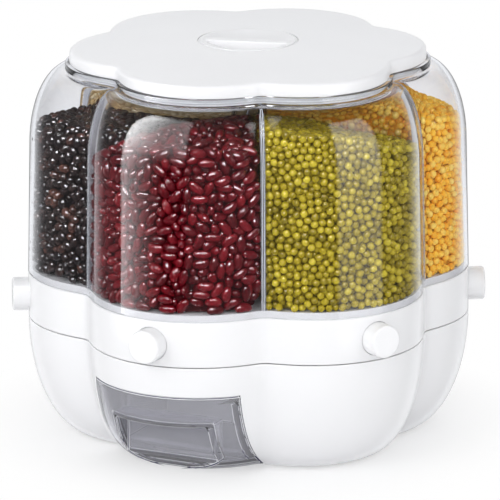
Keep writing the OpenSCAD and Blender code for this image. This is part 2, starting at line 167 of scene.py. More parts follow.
def rounded(loop, steps=4):
    """Rounds the corners of a closed profile. A row is (radius, height, lobes, corner radius)."""
    out = []
    count = len(loop)
    for i, row in enumerate(loop):
        corner = row[3] if len(row) > 3 else 0.0
        here = np.array(row[:3], float)
        if corner <= 0:
            out.append(tuple(here))
            continue
        before = np.array(loop[i - 1][:3], float) - here
        after = np.array(loop[(i + 1) % count][:3], float) - here
        len_a, len_b = np.hypot(*before[:2]), np.hypot(*after[:2])
        turn = math.acos(np.clip(np.dot(before[:2], after[:2]) / (len_a * len_b), -1, 1))
        cut = min(corner / math.tan(turn / 2), 0.48 * len_a, 0.48 * len_b)
        start, end = here + before * cut / len_a, here + after * cut / len_b
        for k in range(steps + 1):
            s = k / steps
            out.append(tuple(start * (1 - s) ** 2 + here * 2 * s * (1 - s) + end * s ** 2))
    return out


def ring_faces(levels, around, closed=False, flip=False):
    """Quads between levels of `around` points each; a level's last point joins its first."""
    faces = []
    for j in range(levels if closed else levels - 1):
        k = (j + 1) % levels
        for i in range(around):
            n = (i + 1) % around
            quad = (j * around + i, j * around + n, k * around + n, k * around + i)
            faces.append(quad[::-1] if flip else quad)
    return faces


def tube_faces(levels, around, flip=False):
    """The same with a face over each end; `flip` turns them all the other way round."""
    ends = [tuple(range(around))[::-1], tuple(range((levels - 1) * around, levels * around))]
    return ring_faces(levels, around, flip=flip) + [end[::-1] if flip else end for end in ends]


def lobed_tube(name, loop, sharp=32.0):
    loop = rounded(loop)
    points = np.concatenate([level(p) for p in loop])
    return make_piece(name, points, ring_faces(len(loop), AROUND, closed=True), sharp)


def lobed_solid(name, stack):
    return make_piece(name, np.concatenate([level(p) for p in stack]), tube_faces(len(stack), AROUND))


def box_piece(name, low, high):
    x0, y0, z0 = low
    x1, y1, z1 = high
    points = [(x, y, z) for z in (z0, z1) for y in (y0, y1) for x in (x0, x1)]
    faces = [(0, 2, 3, 1), (4, 5, 7, 6), (0, 1, 5, 4), (2, 6, 7, 3), (0, 4, 6, 2), (1, 3, 7, 5)]
    return make_piece(name, points, faces)


def round_profile(loop, steps=4):
    """Same as rounded(), for a profile of rows (radius, height, corner radius)."""
    rows = [(row[0], row[1], 0.0, row[2] if len(row) > 2 else 0.0) for row in loop]
    return [(p[0], p[1]) for p in rounded(rows, steps)]


def revolve(name, loop, sides=96, sharp=32.0):
    """A closed profile of (radius, height) turned round Z; points on the axis are merged."""
    angles = np.arange(sides) * 2 * math.pi / sides
    points, rows = [], []
    for r, z in loop:
        if r < 1e-6:
            rows.append([len(points)] * sides)
            points.append((0.0, 0.0, z))
        else:
            rows.append(list(range(len(points), len(points) + sides)))
            points.extend(np.column_stack([r * np.cos(angles), r * np.sin(angles), np.full(sides, z)]).tolist())
    faces = []
    for j in range(len(rows)):
        a, b = rows[j], rows[(j + 1) % len(rows)]
        for i in range(sides):
            n = (i + 1) % sides
            corners = [a[i], a[n], b[n], b[i]]
            kept = [c for k, c in enumerate(corners) if c != corners[k - 1]]
            if len(set(kept)) > 2:
                faces.append(tuple(kept))
    return make_piece(name, points, faces, sharp)


def lobe_matrix(k):
    """Turns X outwards along lobe number k."""
    return Matrix.Rotation(math.radians(FIRST_LOBE + (k - 1) * LOBE_STEP), 4, "Z")


def outwards(k, height):
    """Turns a piece revolved round Z so that its Z points out of lobe k at that height."""
    return lobe_matrix(k) @ Matrix.Translation((0, 0, height * MM)) @ Matrix.Rotation(math.radians(90), 4, "Y")


def place(piece, matrix):
    piece.data.transform(matrix)
    return piece


def boolean(piece, others, operation):
    """Applies an exact boolean of `piece` with each of `others`, which are used up."""
    for other in others:
        step = piece.modifiers.new("step", "BOOLEAN")
        step.operation = operation
        step.solver = "EXACT"
        step.object = other
        apply_modifiers(piece)
        bpy.data.objects.remove(other)
    return piece


def apply_modifiers(piece):
    view = bpy.context.evaluated_depsgraph_get()
    mesh = bpy.data.meshes.new_from_object(piece.evaluated_get(view))
    old = piece.data
    piece.modifiers.clear()
    piece.data = mesh
    mesh.name = old.name
    bpy.data.meshes.remove(old)


def join(pieces, name):
    """One mesh from several, with their materials dropped."""
    points, faces = [], []
    for piece in pieces:
        start = len(points)
        points.extend([v.co / MM for v in piece.data.vertices])
        faces.extend([tuple(start + i for i in f.vertices) for f in piece.data.polygons])
        bpy.data.objects.remove(piece)
    return make_piece(name, points, faces)


def mount(piece, body, material, nodes=()):
    piece.data.materials.clear()
    piece.data.materials.append(material)
    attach(piece, body)
    if nodes:
        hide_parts(*nodes)
    return piece


# ---- Materials ----

def feed(tree, socket, value):
    """Links an input to another node's output, or sets it to a plain value."""
    if isinstance(value, bpy.types.NodeSocket):
        tree.links.new(value, socket)
    else:
        socket.default_value = (*value, 1) if socket.type == "RGBA" else value


def fill_in(tree, node, **values):
    """Sets a node's properties and inputs by name, with _ for a space."""
    for key, value in values.items():
        if hasattr(node, key):
            setattr(node, key, value)
        else:
            feed(tree, node.inputs[key.replace("_", " ")], value)
    return node


def add(tree, kind, **values):
    return fill_in(tree, tree.nodes.new("ShaderNode" + kind), **values)


def calculate(tree, operation, *terms, kind="Math", outcome="Value"):
    """The outcome of a maths node, for terms that are outputs or plain values."""
    node = add(tree, kind, operation=operation)
    for socket, term in zip(node.inputs, terms):
        feed(tree, socket, term)
    return node.outputs[outcome]


def map_range(tree, value, **ends):
    return add(tree, "MapRange", Value=value, **ends).outputs["Result"]


def colour_ramp(tree, value, stops):
    ramp = add(tree, "ValToRGB", Fac=value)
    elements = ramp.color_ramp.elements
    for i, (at, colour) in enumerate(stops):
        element = elements[i] if i < 2 else elements.new(at)
        element.position = at
        element.color = (*colour, 1)
    return ramp.outputs["Color"]


def mix_shaders(tree, factor, first, second):
    mix = add(tree, "MixShader", Fac=factor)
    feed(tree, mix.inputs[1], first)
    feed(tree, mix.inputs[2], second)
    return mix.outputs["Shader"]


def new_material(name, **values):
    """A node material, and its tree, shader and surface input. The values go to the shader."""
    material = bpy.data.materials.new(name)
    material.use_nodes = True
    tree = material.node_tree
    shader = fill_in(tree, tree.nodes["Principled BSDF"], **values)
    return material, tree, shader, tree.nodes["Material Output"].inputs["Surface"]


def surface_detail(tree, shader, scale, strength, distance, base, spread, rough_scale=9.0):
    """Fine moulded texture: a noise bump, and a slow noise, which is returned, in the roughness round `base`."""
    where = add(tree, "TexCoord").outputs["Object"]
    fine = add(tree, "TexNoise", Scale=scale, Detail=3.0, Roughness=0.55, Vector=where).outputs["Fac"]
    bump = add(tree, "Bump", Strength=strength, Distance=distance, Height=fine).outputs["Normal"]
    slow = add(tree, "TexNoise", Scale=rough_scale, Detail=2.0, Vector=where).outputs["Fac"]
    rough = map_range(tree, slow, To_Min=base - spread, To_Max=base + spread)
    fill_in(tree, shader, Normal=bump, Roughness=rough)
    return slow


def plastic(name, low, high, rough, scale=900.0, strength=0.06, coat=0.0):
    """Opaque moulded plastic whose tone drifts slightly between two colours."""
    material, tree, shader, _ = new_material(name, Coat_Weight=coat, Coat_Roughness=0.06)
    slow = surface_detail(tree, shader, scale, strength, distance=0.0002, base=rough, spread=0.03)
    fill_in(tree, shader, Base_Color=colour_ramp(tree, slow, ((0.35, low), (0.65, high))))
    return material


def clear_plastic(name, colour, rough, shadow, ior, clear=1.0, absorb=None, density=0.0):
    """Clear moulded plastic. Lamps reach through it, and long paths inside it take on the tint `absorb`."""
    material, tree, shader, surface = new_material(name, Base_Color=colour, Transmission_Weight=clear, IOR=ior)
    surface_detail(tree, shader, scale=60.0, strength=0.02, distance=0.0006, base=rough, spread=rough * 0.6)
    path = add(tree, "LightPath").outputs
    through = add(tree, "BsdfTransparent", Color=shadow).outputs["BSDF"]
    either = calculate(tree, "MAXIMUM", path["Is Shadow Ray"], path["Is Diffuse Ray"])
    feed(tree, surface, mix_shaders(tree, either, shader.outputs["BSDF"], through))
    if absorb:
        volume = add(tree, "VolumeAbsorption", Density=density, Color=absorb).outputs["Volume"]
        feed(tree, tree.nodes["Material Output"].inputs["Volume"], volume)
    return material


def paint_light_lines(material, nearest, furthest, from_radius, share):
    """Paints two pale matt lines on each blade's end face, between two distances in metres off its middle plane.
    They are painted highlights, standing in for the light lines that the clear blade's edge shows.
    """
    tree = material.node_tree
    surface = tree.nodes["Material Output"].inputs["Surface"]
    clear = surface.links[0].from_socket
    where = add(tree, "TexCoord").outputs["Object"]
    split = add(tree, "SeparateXYZ", Vector=where).outputs
    turn = calculate(tree, "ARCTAN2", split["Y"], split["X"])
    off_blade = calculate(tree, "PINGPONG", turn, math.radians(HALF_STEP))
    flat = calculate(tree, "MULTIPLY", where, (1, 1, 0), kind="VectorMath", outcome="Vector")
    radius = calculate(tree, "LENGTH", flat, kind="VectorMath")
    across = calculate(tree, "MULTIPLY", off_blade, radius)
    in_line = calculate(tree, "COMPARE", across, (nearest + furthest) / 2, (furthest - nearest) / 2)
    outside = calculate(tree, "GREATER_THAN", radius, from_radius)
    factor = calculate(tree, "MULTIPLY", calculate(tree, "MULTIPLY", in_line, outside), share)
    # painted highlight: a pale matt finish mixed into the clear blade along the two lines
    light_line = add(tree, "BsdfDiffuse", Color=(0.88, 0.90, 0.94)).outputs["BSDF"]
    feed(tree, surface, mix_shaders(tree, factor, clear, light_line))


def metal(name, colour, rough):
    material, tree, shader, _ = new_material(name, Base_Color=colour, Metallic=1.0)
    surface_detail(
        tree, shader, scale=1500.0, strength=0.05, distance=0.0001, base=rough, spread=0.06, rough_scale=40.0
    )
    return material


def grain_material(name, low, middle, high, rough, mottle, coat=0.0, scale=0.5, coat_ior=1.6, middle_at=0.5):
    """Seeds: the tone of each grain is a mesh attribute, and a noise on the grain's own points mottles it."""
    material, tree, shader, _ = new_material(
        name, Roughness=rough, Specular_IOR_Level=0.3, Coat_Weight=coat, Coat_Roughness=0.06, Coat_IOR=coat_ior
    )
    tone = add(tree, "Attribute", attribute_name="tone").outputs["Fac"]
    spot = add(tree, "Attribute", attribute_name="spot").outputs["Vector"]
    noise = add(tree, "TexNoise", Scale=scale, Detail=3.0, Vector=spot).outputs["Fac"]
    mottled = calculate(tree, "MULTIPLY_ADD", calculate(tree, "SUBTRACT", noise, 0.5), mottle, tone)
    colour = colour_ramp(tree, mottled, ((0.0, low), (middle_at, middle), (1.0, high)))
    bump = add(tree, "Bump", Strength=0.15, Distance=0.0003, Height=noise).outputs["Normal"]
    fill_in(tree, shader, Base_Color=colour, Normal=bump)
    return material


WHITE = plastic("white_gloss_plastic", (0.83, 0.83, 0.84), (0.85, 0.85, 0.86), 0.24, strength=0.02, coat=0.2)
WHITE_LID = plastic("white_lid_plastic", (0.82, 0.82, 0.83), (0.84, 0.84, 0.85), 0.30, strength=0.02)
WHITE_INNER = plastic("white_inner_plastic", (0.76, 0.76, 0.77), (0.79, 0.79, 0.80), 0.42, 500, 0.12)
GATE = plastic("gate_plastic", (0.62, 0.63, 0.65), (0.66, 0.67, 0.69), 0.38, 600, 0.1)
SILICONE = plastic("silicone", (0.66, 0.67, 0.68), (0.70, 0.71, 0.72), 0.55, 300, 0.15)
RUBBER = plastic("foot_rubber", (0.055, 0.055, 0.058), (0.075, 0.075, 0.078), 0.8, 700, 0.3)
STEEL = metal("steel", (0.62, 0.62, 0.64), 0.26)
CLEAR = clear_plastic(
    "clear_plastic", (0.945, 0.947, 0.96), 0.01, (1.0, 1.0, 1.0), 1.38, absorb=(0.55, 0.60, 0.74), density=18.0
)
BLADE = clear_plastic(
    "clear_blade", (0.985, 0.99, 0.995), 0.01, (0.95, 0.96, 0.97), 1.38, absorb=(0.60, 0.66, 0.80), density=5.0
)
# painted highlight lines on the blades' end faces, in place of the light that their clear edges show
paint_light_lines(BLADE, nearest=0.0003, furthest=0.0009, from_radius=0.05, share=0.75)
RIB = clear_plastic("clear_rib", (0.70, 0.71, 0.75), 0.12, (0.90, 0.90, 0.92), 1.38, 0.4)
# The drawer's plastic, then a pale painted highlight for its softened edges, painted dark lines along them for the
# shade and dark reflections there, and a darker tint painted on the ceiling of its finger pull for the shade in
# it.
SMOKY = clear_plastic(
    "smoky_plastic", (0.86, 0.86, 0.90), 0.012, (0.98, 0.98, 0.98), 1.42, 0.85, (0.32, 0.32, 0.44), 45.0
)
SMOKY_HIGHLIGHT = clear_plastic("smoky_painted_highlight", (0.97, 0.97, 0.98), 0.10, (0.98, 0.98, 0.98), 1.42, 0.10)
SMOKY_SHADE_LINE = clear_plastic("smoky_painted_shade_line", (0.03, 0.03, 0.08), 0.06, (0.80, 0.80, 0.85), 1.42, 0.04)
SMOKY_PULL_SHADE = clear_plastic("smoky_painted_pull_shade", (0.34, 0.33, 0.44), 0.03, (0.80, 0.80, 0.85), 1.42, 0.75)


# ---- Base ----

def base_curve(inset, low, steps=30):
    rise = CURVE_TOP_Z - inset
    start = math.degrees(math.acos((CURVE_TOP_Z - low) / rise))
    out = []
    for i in range(steps + 1):
        t = math.radians(start + (90 - start) * i / steps)
        out.append((
            FOOT_R + (TIP_R - FOOT_R - inset) * math.sin(t),
            CURVE_TOP_Z - rise * math.cos(t),
            1 + (FOOT_LOBES - 1) * math.cos(t),
        ))
    return out


LEDGE_W, LEDGE_H = 4.5, 3
outer = base_curve(0, FOOT_Z)
outer[0] = (*outer[0], 0.8)
inner = [p for p in base_curve(SHELL_WALL, FOOT_Z + SHELL_WALL) if p[1] < DECK_Z - 6]
base_shell = lobed_tube(
    "dress_base_shell",
    [(MOUTH_R, FOOT_Z, 1, 0.8)] + outer
    + [(TIP_R, BASE_TOP_Z, 1, 0.9), (INNER_R, BASE_TOP_Z, 1, 0.5)]
    + [(INNER_R - 0.4, DECK_Z, 1), (INNER_R - LEDGE_W, DECK_Z, 1), (INNER_R - LEDGE_W, DECK_Z - LEDGE_H, 1)]
    + inner[::-1] + [(MOUTH_R, FOOT_Z + SHELL_WALL, 1, 0.8)],
)
half_space = FRONT_W / 2 + SEAM_GAP
drawer_space = box_piece("drawer_space", (-half_space, -TIP_R - 20, -5), (half_space, -50, FRONT_TOP_Z + SEAM_GAP))
boolean(base_shell, [drawer_space], "DIFFERENCE")
finish_shading(base_shell)
mount(base_shell, "base", WHITE, ["base_shell"])

# ---- Button ring ----

RING_LEDGE = 7.5
RING_WALL = 3.2
BORE_R = BUTTON_R + 0.3
BOSS_R, BOSS_LIP_R = 14.1, 15.8
BOSS_FROM, BOSS_TO = 131.0, 147.4
ring = lobed_tube(
    "dress_button_ring",
    [(TIP_R, RING_Z, 1, 0.8), (TIP_R, RING_TOP_Z, 1, 1.0), (TIP_R - RING_LEDGE, RING_TOP_Z, 1, 0.3)]
    + [(TIP_R - RING_LEDGE, RING_TOP_Z - 2, 1), (TIP_R - RING_WALL, RING_TOP_Z - 2, 1)]
    + [(TIP_R - RING_WALL, RING_Z, 1, 0.5)],
)
bores = [
    place(revolve("bore", [(0, 120), (BORE_R, 120), (BORE_R, 170), (0, 170)], 96), outwards(k, BUTTON_Z))
    for k in range(1, LOBES + 1)
]
boolean(ring, bores, "DIFFERENCE")
boss = [(BOSS_R, BOSS_FROM), (BOSS_LIP_R, BOSS_FROM), (BOSS_LIP_R, BOSS_TO), (BORE_R, BOSS_TO)]
boss += [(BORE_R, BOSS_TO - 0.4), (BOSS_R, BOSS_TO - 0.4)]
bosses = [place(revolve(f"boss_{k}", boss, 72), outwards(k, BUTTON_Z)) for k in range(1, LOBES + 1)]
ring = join([ring] + bosses, "dress_button_ring")
mount(ring, "carousel", WHITE, ["button_ring"])

# ---- Clear body ----

def clear_side(inset, steps=30):
    out = [(TIP_R - inset, RING_TOP_Z + 0.03, 1)]
    for i in range(steps + 1):
        t = math.radians(90 * i / steps)
        out.append((
            NECK_R + (TIP_R - WALL_TAPER - NECK_R - inset) * math.cos(t),
            SHOULDER_Z + (SHOULDER_RISE - inset) * math.sin(t),
            1,
        ))
    return out


clear_outer = clear_side(0)
clear_outer[0] = (*clear_outer[0], 0.6)
clear_inner = clear_side(CLEAR_WALL)[::-1]
clear_body = lobed_tube(
    "dress_clear_body",
    clear_outer
    + [(NECK_R, NECK_TOP_Z, 1, 0.7), (NECK_IN, NECK_TOP_Z, 1, 0.7)]
    + [(NECK_IN, NECK_TOP_Z - NECK_H - CLEAR_WALL + 1, 1, 0.8)]
    + clear_inner,
    60.0,
)
mount(clear_body, "carousel", CLEAR, ["clear_body"])


RIB_GAP = 0.25
RIB_W = 5.4
RIB_HEIGHT = 0.32
RIB_LEVELS = 26


def blade_rib(valley, side):
    """A low pale rib down one side of a blade, next to the clear wall, up over the shoulder."""
    turn = math.radians(FIRST_LOBE + HALF_STEP + valley * LOBE_STEP)
    out = np.array([math.cos(turn), math.sin(turn), 0.0])
    across = np.array([-out[1], out[0], 0.0]) * side
    valley_reach = float(reach(fold(np.array([FIRST_LOBE + HALF_STEP])))[0])
    edges = []
    for inset in (CLEAR_WALL + RIB_GAP, CLEAR_WALL + RIB_W):
        rows = [(TIP_R - inset, FLOOR_TOP_Z + 0.2)] + [(r, z) for r, z, _ in clear_side(inset)[1:RIB_LEVELS]]
        edges.append([(r * valley_reach, z) for r, z in rows])
    # share of the way from the outer edge to the inner one, and height off the blade
    section = [(0, 0.0), (0, 0.2), (0.1, RIB_HEIGHT), (0.9, RIB_HEIGHT), (1, 0.2), (1, 0.0)]
    points = []
    for (r0, z0), (r1, z1) in zip(*edges):
        for share, proud in section:
            r, z = r0 + (r1 - r0) * share, z0 + (z1 - z0) * share
            points.append(out * r + across * (BLADE_T / 2 + 0.02 + proud) + np.array([0, 0, z]))
    return make_piece("rib", points, tube_faces(len(edges[0]), len(section), flip=side < 0), 60.0)


ribs = join([blade_rib(valley, side) for valley in range(LOBES) for side in (-1, 1)], "dress_divider_ribs")
mount(ribs, "carousel", RIB)

# ---- Lid ----

def crown(r):
    """Height of the lid's slightly domed top at a radius."""
    return EDGE_TOP_Z + (LID_TOP_Z - EDGE_TOP_Z) * (1 - (r / (LID_R - LID_ROUND)) ** 2)


EDGE_STEPS, TOP_STEPS, DISH_STEPS = 12, 24, 24
LID_SEAT_Z = NECK_TOP_Z + 0.05
edge = []
for i in range(EDGE_STEPS + 1):
    t = math.radians(90 * i / EDGE_STEPS)
    edge.append((LID_R - LID_ROUND + LID_ROUND * math.cos(t), EDGE_TOP_Z - LID_ROUND + LID_ROUND * math.sin(t), 1))
top = []
for i in range(1, TOP_STEPS + 1):
    s = i / TOP_STEPS
    r = (LID_R - LID_ROUND) * (1 - s) + GRIP_SEAT_R * s
    top.append((r, crown(r), 1 - s ** 2))
under = [(r, z - LID_WALL, share) for r, z, share in top[::-1]]
lid = lobed_tube(
    "dress_lid",
    [(LID_R, LID_SEAT_Z, 1, 0.8)] + edge + top + under
    + [(PLUG_R - PLUG_WALL, EDGE_TOP_Z - LID_WALL, 1)]
    + [(PLUG_R - PLUG_WALL, NECK_TOP_Z - PLUG_DEPTH, 1, 0.5), (PLUG_R - 1, NECK_TOP_Z - PLUG_DEPTH, 1, 0.5)]
    + [(PLUG_R - 1, LID_SEAT_Z, 1)],
)
mount(lid, "lid", WHITE_LID, ["lid"])

gasket_low = NECK_TOP_Z - PLUG_DEPTH + 1.2
gasket = lobed_tube(
    "dress_lid_gasket",
    [(PLUG_R - 0.9, gasket_low, 1), (NECK_IN - 0.3, gasket_low + 0.7, 1, 0.4)]
    + [(NECK_IN - 0.3, gasket_low + 1.7, 1, 0.4), (PLUG_R - 0.9, gasket_low + 2.4, 1)],
    60.0,
)
mount(gasket, "lid", SILICONE, ["lid_gasket"])

dish_ball = ((GRIP_R - 1) ** 2 + DISH_DEPTH ** 2) / (2 * DISH_DEPTH)
dish_floor = LID_TOP_Z - DISH_DEPTH
grip_low = dish_floor - 2.2
seat_z = crown(GRIP_SEAT_R) - 0.2
dish = []
for i in range(DISH_STEPS + 1):
    r = (GRIP_R - 1) * i / DISH_STEPS
    dish.append((r, dish_floor + dish_ball - math.sqrt(dish_ball ** 2 - r ** 2)))
dish[-1] = (*dish[-1], 0.5)
grip = revolve(
    "dress_lid_grip",
    round_profile(
        [(0, grip_low), (GRIP_SEAT_R - 0.3, grip_low), (GRIP_SEAT_R - 0.3, seat_z, 0.5), (GRIP_R + 1, seat_z)]
        + [(GRIP_R + 1, LID_TOP_Z, 0.5)] + dish[::-1]
    ),
    144,
)
mount(grip, "lid", WHITE_LID, ["lid_grip"])


def grip_bar():
    """The finger bar across the dish, with softened long edges and ends that follow the dish's rim."""
    half = BAR_W / 2
    top_z = LID_TOP_Z - 0.3
    section = round_profile(
        [(-half, grip_low + 0.5), (half, grip_low + 0.5), (half, top_z, 1.1), (-half, top_z, 1.1)], 5
    )
    points = []
    stations = 9
    for j in range(stations):
        share = -1 + 2 * j / (stations - 1)
        points += [(share * math.sqrt((GRIP_R - 0.6) ** 2 - y ** 2), y, z) for y, z in section]
    return make_piece("dress_grip_bar", points, tube_faces(stations, len(section), flip=True))


bar = place(grip_bar(), Matrix.Rotation(math.radians(BAR_TURN), 4, "Z"))
mount(bar, "lid", WHITE_LID)

# ---- Buttons, springs ----

FLANGE_R = 13.3
button_profile = round_profile(
    [(0, BUTTON_FACE_R - 3)] + [(BUTTON_R - 2, BUTTON_FACE_R - 3)] * 2 + [(BUTTON_R - 2, BUTTON_IN)]
    + [(FLANGE_R, BUTTON_IN, 0.4), (FLANGE_R, BUTTON_IN + 2, 0.4), (BUTTON_R, BUTTON_IN + 2)]
    + [(BUTTON_R, BUTTON_FACE_R, 2.0), (BUTTON_R - 4.5, BUTTON_FACE_R, 3.0), (0, BUTTON_FACE_R - 0.25)],
    8,
)
for k in range(1, LOBES + 1):
    button = place(revolve(f"dress_button_{k}", button_profile, 128), outwards(k, BUTTON_Z))
    mount(button, f"button_{k}", WHITE, [f"button_{k}"])

SPRING_FROM, SPRING_TO = 125.3, 142.2
SPRING_R, WIRE_R = 5.6, 0.55
SPRING_TURNS, TURN_STEPS, WIRE_SIDES = 6, 28, 10
END_TURN = 0.12


def spring_mesh(name):
    """A round wire wound along Z, with closed flat end turns."""
    steps = SPRING_TURNS * TURN_STEPS
    points = []
    for i in range(steps + 1):
        s = i / steps
        angle = 2 * math.pi * SPRING_TURNS * s
        climb = min(max((s - END_TURN) / (1 - 2 * END_TURN), 0), 1)
        z = SPRING_FROM + (SPRING_TO - SPRING_FROM) * climb
        for j in range(WIRE_SIDES):
            a = 2 * math.pi * j / WIRE_SIDES
            r = SPRING_R + WIRE_R * math.cos(a)
            points.append((r * math.cos(angle), r * math.sin(angle), z + WIRE_R * math.sin(a)))
    faces = []
    for i in range(steps):
        near, far = i * WIRE_SIDES, (i + 1) * WIRE_SIDES
        for j in range(WIRE_SIDES):
            n = (j + 1) % WIRE_SIDES
            faces.append((near + n, far + n, far + j, near + j))
    faces.append(tuple(range(WIRE_SIDES)))
    faces.append(tuple(range(steps * WIRE_SIDES, (steps + 1) * WIRE_SIDES))[::-1])
    return make_piece(name, points, faces, 60.0)


for k in range(1, LOBES + 1):
    coil = place(spring_mesh(f"dress_spring_{k}"), outwards(k, BUTTON_Z))
    mount(coil, "carousel", STEEL, [f"return_spring_{k}"])
    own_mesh(coil)

# ---- Drawer ----

def within_base(name, inset):
    return lobed_solid(name, base_curve(inset, FOOT_Z + inset) + [(TIP_R - inset, SEAM_Z + 10, 1)])


def pull_space(grow):
    half = PULL_W / 2 + grow
    return box_piece("pull_space", (-half, -TIP_R - 10, -10), (half, PULL_BACK_Y + grow, PULL_TOP_Z + grow))


def tray_block():
    return box_piece("tray_block", (-TRAY_W / 2, -TIP_R - 1, TRAY_LOW), (TRAY_W / 2, TRAY_BACK_Y, TRAY_TOP))


front_block = box_piece(
    "front_block", (-FRONT_W / 2, -TIP_R - 10, FRONT_LOW), (FRONT_W / 2, FRONT_BACK_Y, FRONT_TOP_Z)
)
drawer = boolean(front_block, [tray_block()], "UNION")
boolean(drawer, [within_base("base_inside", 0)], "INTERSECT")
walls = tray_block()
half_tray = TRAY_W / 2 - TRAY_WALL
cavity_low = (-half_tray, -TIP_R - 2, TRAY_LOW + TRAY_WALL)
cavity = box_piece("cavity", cavity_low, (half_tray, TRAY_BACK_Y - TRAY_WALL, 90))
boolean(walls, [cavity], "DIFFERENCE")
space = within_base("base_inside_wall", FRONT_WALL)
reach_box = box_piece("reach_box", (-FRONT_W, -TIP_R, -5), (FRONT_W, 0, SEAM_Z))
boolean(space, [reach_box], "INTERSECT")
boolean(space, [walls, pull_space(TRAY_WALL)], "DIFFERENCE")
boolean(drawer, [space, pull_space(0)], "DIFFERENCE")
drawer.name = "dress_drawer"
for finish in (SMOKY, SMOKY_HIGHLIGHT, SMOKY_SHADE_LINE, SMOKY_PULL_SHADE):
    drawer.data.materials.append(finish)
HIGHLIGHT_SLOT, SHADE_LINE_SLOT, PULL_SHADE_SLOT = 1, 2, 3
# material slot, width, segments and least angle: a chamfer with painted dark lines, then a pale painted highlight
# softening its own edges
for slot_index, width, segments, angle in ((SHADE_LINE_SLOT, 0.8, 1, 50), (HIGHLIGHT_SLOT, 0.22, 2, 25)):
    soften = drawer.modifiers.new("soften", "BEVEL")
    soften.width = width * MM
    soften.segments = segments
    soften.material = slot_index
    soften.use_clamp_overlap = False
    soften.limit_method = "ANGLE"
    soften.angle_limit = math.radians(angle)
    apply_modifiers(drawer)
# painted shade: the ceiling over the finger pull takes the darker tint, and the downward faces along the drawer's
# bottom take the dark line
for face in drawer.data.polygons:
    x, _, z = face.center / MM
    shaded_pull_ceiling = 0 < z - PULL_TOP_Z < TRAY_WALL + 0.1 and abs(x) < PULL_W / 2 + TRAY_WALL
    if abs(face.normal.z) > 0.9 and shaded_pull_ceiling:
        face.material_index = PULL_SHADE_SLOT
    elif face.normal.z < -0.7 and z < FRONT_LOW + 1:
        face.material_index = SHADE_LINE_SLOT
finish_shading(drawer, 40.0)
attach(drawer, "drawer")
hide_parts("drawer")

# ---- CAD nodes that stay, with their finishes ----

FINISHES = {
    WHITE_INNER: ["base_plate", "deck", "drawer_bay", "carousel_base", "hopper_floor"],
    BLADE: ["divider"],
    STEEL: ["pivot_post", "lower_race", "upper_race", "base_screws", "carousel_screws", "retaining_washer"]
    + ["centre_screw", "bearing_balls"],
    RUBBER: ["rubber_feet"],
    GATE: ["ball_cage"] + [f"gate_{k}" for k in range(1, LOBES + 1)],
}
for material, names in FINISHES.items():
    for name in names:
        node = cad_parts[name]
        if not node.material_slots:
            node.data.materials.append(material)
        for slot in node.material_slots:
            slot.material = material


# ---- Grain ----

def inner_tip(z):
    """Tip radius of the clear body's inner surface at a height, and its slope."""
    r = np.empty_like(z)
    slope = np.empty_like(z)
    low = z < SHOULDER_Z
    rate = -WALL_TAPER / (SHOULDER_Z - RING_TOP_Z)
    r[low] = TIP_R - CLEAR_WALL + rate * (z[low] - RING_TOP_Z)
    slope[low] = rate
    wide = TIP_R - WALL_TAPER - NECK_R - CLEAR_WALL
    rise = SHOULDER_RISE - CLEAR_WALL
    s = np.clip((z[~low] - SHOULDER_Z) / rise, 0, 0.97)
    root = np.sqrt(1 - s ** 2)
    r[~low] = NECK_R + wide * root
    slope[~low] = -wide * s / (root * rise)
    return r, slope


BLADE_SEEN_R = 92
RELAX = 0.55
LOOK_AROUND = 1.35
NEW_PAIRS_EVERY = 8
BLUNT_ENDS = 0.86
NOTCH_W = 0.35


class Compartment:
    """One sector, in its lobe's own frame: X outwards, Y along the wall, Z up. Distances in mm."""

    def __init__(self, heap, seed):
        self.heap = heap
        self.rng = np.random.default_rng(seed)

    def wall(self, p):
        """Distance inside the outer wall, and the direction away from it."""
        tip, slope = inner_tip(p[:, 2])
        x, y = p[:, 0] - ARC_CENTRE * tip, p[:, 1]
        flat = np.maximum(np.hypot(x, y), 1e-6)
        grad = np.column_stack([-x / flat, -y / flat, slope * (ARC_RADIUS + ARC_CENTRE * x / flat)])
        size = np.linalg.norm(grad, axis=1)
        return (ARC_RADIUS * tip - flat) / size, grad / size[:, None]

    def blade(self, p):
        """Distance from the nearer blade."""
        side = np.where(p[:, 1] < 0, -1.0, 1.0)
        dist = 0.5 * p[:, 0] - math.sqrt(0.75) * np.abs(p[:, 1]) - BLADE_T / 2
        grad = np.column_stack([np.full(len(p), 0.5), -side * math.sqrt(0.75), np.zeros(len(p))])
        return dist, grad

    def surface(self, p):
        """Depth under the heap."""
        height = self.heap(p[:, 0], p[:, 1])
        grad = np.tile(np.array([0.0, 0.0, -1.0]), (len(p), 1))
        return height - p[:, 2], grad

    def limits(self, p):
        """The bounds that grain rests against, as (distance, direction) pairs."""
        up = np.tile(np.array([0.0, 0.0, 1.0]), (len(p), 1))
        axis = np.maximum(np.hypot(p[:, 0], p[:, 1]), 1e-6)
        round_hub = np.column_stack([p[:, 0] / axis, p[:, 1] / axis, np.zeros(len(p))])
        floor, hub = (p[:, 2] - FLOOR_TOP_Z, up), (axis - HUB_OUT, round_hub)
        return [self.wall(p), self.blade(p), self.surface(p), floor, hub]

    def depth(self, p, size):
        """How deep a point lies under the faces that are seen, and the way back to them."""
        wall, wall_grad = self.wall(p)
        top, top_grad = self.surface(p)
        side, side_grad = self.blade(p)
        near_edge = (np.hypot(p[:, 0], p[:, 1]) > BLADE_SEEN_R) | (p[:, 2] > SHOULDER_Z + 10)
        side = np.where(near_edge, side + 0.7 * size, 1e3)
        top = top + 0.25 * size
        stacked = np.stack([wall, top, side])
        pick = np.argmin(stacked, axis=0)
        grads = np.stack([wall_grad, top_grad, side_grad])
        index = np.arange(len(p))
        return stacked[pick, index], grads[pick, index]


def close_pairs(points, distance):
    tree = kdtree.KDTree(len(points))
    for i, p in enumerate(points):
        tree.insert(p, i)
    tree.balance()
    first, second = [], []
    for i, p in enumerate(points):
        for _, j, _ in tree.find_range(p, distance):
            if j > i:
                first.append(i)
                second.append(j)
    return np.array(first, int), np.array(second, int)


